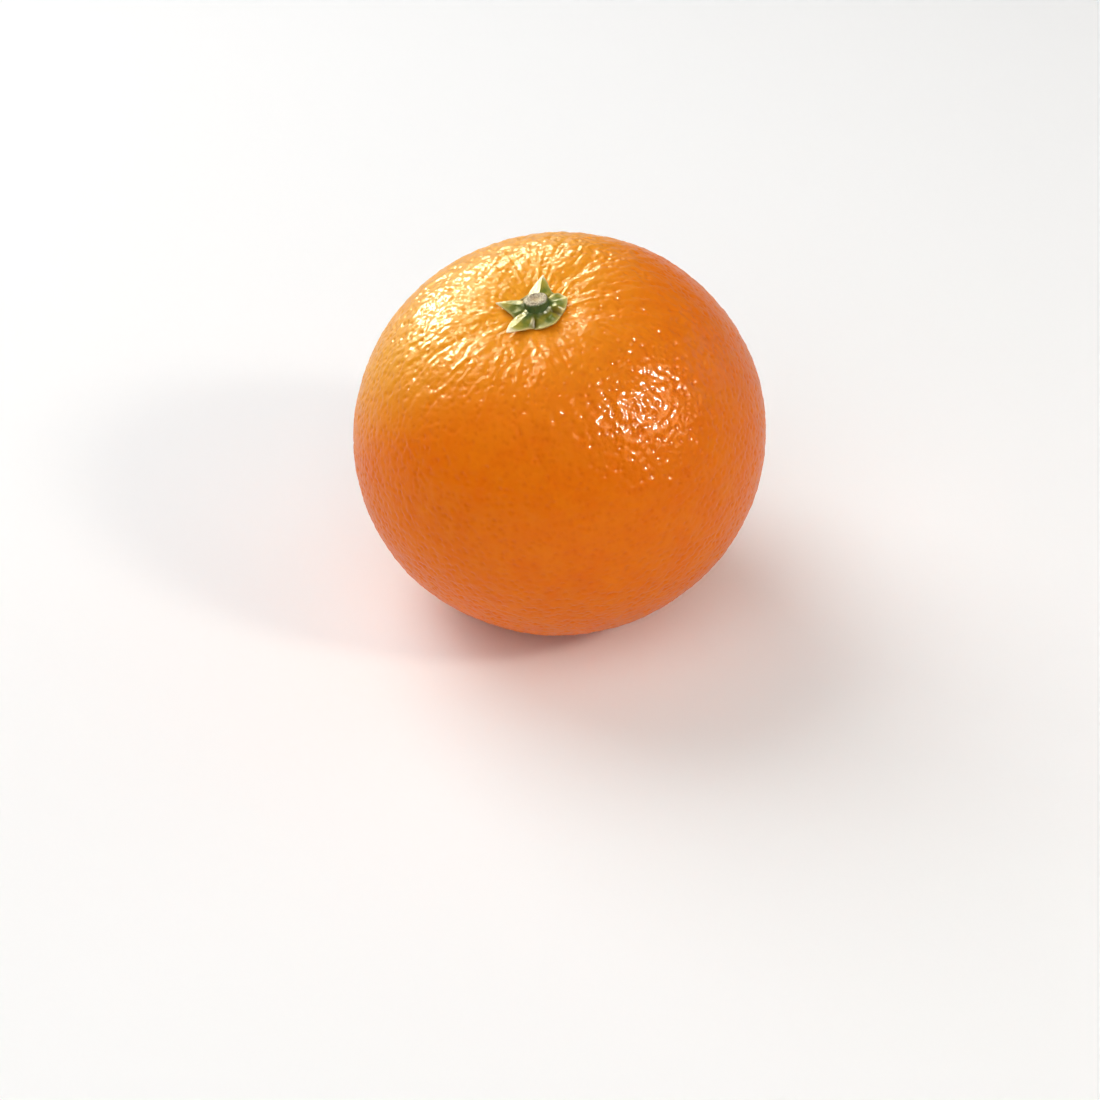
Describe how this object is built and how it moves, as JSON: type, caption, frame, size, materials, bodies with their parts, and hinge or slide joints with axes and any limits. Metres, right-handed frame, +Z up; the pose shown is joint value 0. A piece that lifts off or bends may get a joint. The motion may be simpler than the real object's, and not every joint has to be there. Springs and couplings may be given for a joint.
{
  "type": "orange",
  "caption": "Whole fresh orange with a green calyx and a cut stem stub, lying on a small flat spot.",
  "frame": {"origin": "middle of the underside, on the flat spot that it rests on", "axes": "+Z up from the resting spot; the stem end leans towards -Y and a little towards -X"},
  "size_m": [0.0762, 0.0754, 0.0708],
  "materials": {
    "peel": "waxy pebbled citrus peel with a soft gloss",
    "calyx": "dry leathery yellow-green with pale edges",
    "stem": "green bark with a dry grey-brown cut end"
  },
  "bodies": {
    "root": {"fruit": "peel", "calyx": "calyx", "stem_stub": "stem"}
  },
  "joints": []
}
